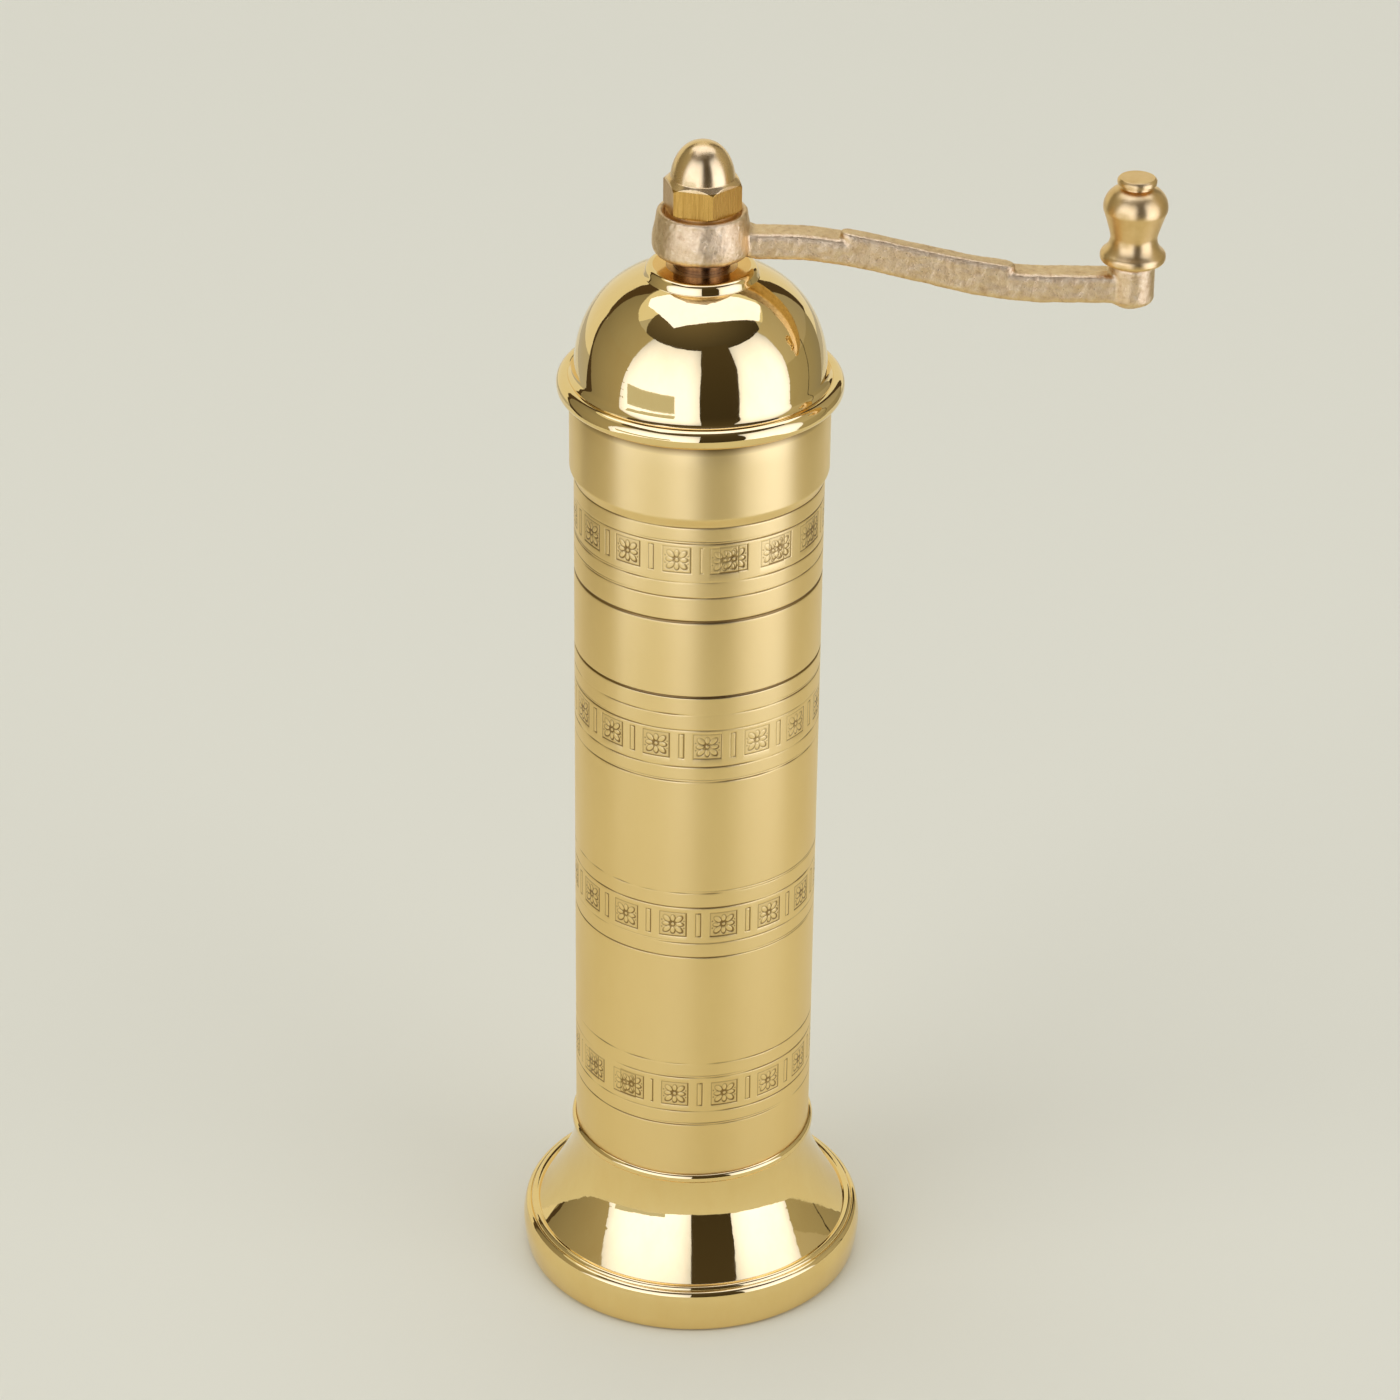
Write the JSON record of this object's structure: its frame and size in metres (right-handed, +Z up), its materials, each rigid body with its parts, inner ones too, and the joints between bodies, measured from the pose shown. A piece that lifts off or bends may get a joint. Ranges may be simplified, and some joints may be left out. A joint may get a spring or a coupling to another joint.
{
  "type": "hand coffee mill",
  "caption": "Tall cylindrical brass hand mill with a flared foot, domed cap, cast crank with a turned knob, and a pull-apart receiver under conical burrs.",
  "frame": {"origin": "centre of the underside of the foot, where the mill stands", "axes": "+Z up along the spindle, +X along the crank at rest"},
  "size_m": [0.1136, 0.0658, 0.2303],
  "materials": {
    "spun_brass": "polished, spun",
    "tube_brass": "satin drawn tube with rolled rings and stamped rosettes",
    "cast_brass": "sand-cast, lightly brushed",
    "turned_brass": "turned, satin",
    "bronze": "dark oiled bronze",
    "cast_iron": "machined casting, oiled",
    "steel": "bright turned steel",
    "burr_steel": "hardened, dull grey"
  },
  "bodies": {
    "receiver": {"base_shell": "spun_brass", "base_plate": "tube_brass", "receiver_floor": "tube_brass", "receiver_tube": "tube_brass"},
    "upper_body": {"upper_tube": "tube_brass", "mill_housing": "cast_iron", "outer_burr": "burr_steel", "lower_bridge": "steel", "bridge_screws": "steel", "lock_nut": "steel", "upper_bridge": "cast_brass", "upper_bush": "bronze", "burr_spring": "steel"},
    "thrust": {"thrust_ball": "steel"},
    "adjuster": {"adjusting_screw": "turned_brass"},
    "shaft": {"spindle": "steel", "inner_burr": "burr_steel", "spring_washer": "steel", "spindle_collar": "bronze", "collar_pin": "steel"},
    "cap": {"dome_cap": "spun_brass", "cap_skirt": "tube_brass", "cap_bush": "turned_brass"},
    "crank": {"crank_arm": "cast_brass", "crank_washer": "turned_brass", "knob_pin": "turned_brass"},
    "nut": {"acorn_nut": "turned_brass"},
    "knob": {"knob": "turned_brass"}
  },
  "joints": [
    {"name": "body_lift", "type": "slide", "parent": "receiver", "child": "upper_body", "axis": [0, 0, 1], "range_m": [0, 0.05]},
    {"name": "adjust_turn", "type": "hinge", "parent": "thrust", "child": "adjuster", "pos_m": [0, 0, 0.1], "axis": [0, 0, 1], "range_deg": [0, 720]},
    {"name": "burr_set", "type": "slide", "parent": "upper_body", "child": "thrust", "axis": [0, 0, 1], "range_m": [0, 0.002], "deforming": ["burr_spring"]},
    {"name": "crank_turn", "type": "hinge", "parent": "thrust", "child": "shaft", "pos_m": [0, 0, 0.21], "axis": [0, 0, 1], "continuous": true},
    {"name": "cap_lift", "type": "slide", "parent": "upper_body", "child": "cap", "axis": [0, 0, 1], "range_m": [0, 0.06]},
    {"name": "crank_lift", "type": "slide", "parent": "shaft", "child": "crank", "axis": [0, 0, 1], "range_m": [0, 0.078]},
    {"name": "nut_lift", "type": "slide", "parent": "shaft", "child": "nut", "axis": [0, 0, 1], "range_m": [0, 0.096]},
    {"name": "knob_spin", "type": "hinge", "parent": "crank", "child": "knob", "pos_m": [0.075, 0, 0.216], "axis": [0, 0, 1], "continuous": true}
  ],
  "couplings": [
    {"joint": "adjust_turn", "follows": "burr_set", "rad_per_m": 6283.2},
    {"joint": "crank_lift", "follows": "cap_lift", "ratio": 1.3},
    {"joint": "nut_lift", "follows": "cap_lift", "ratio": 1.6}
  ]
}
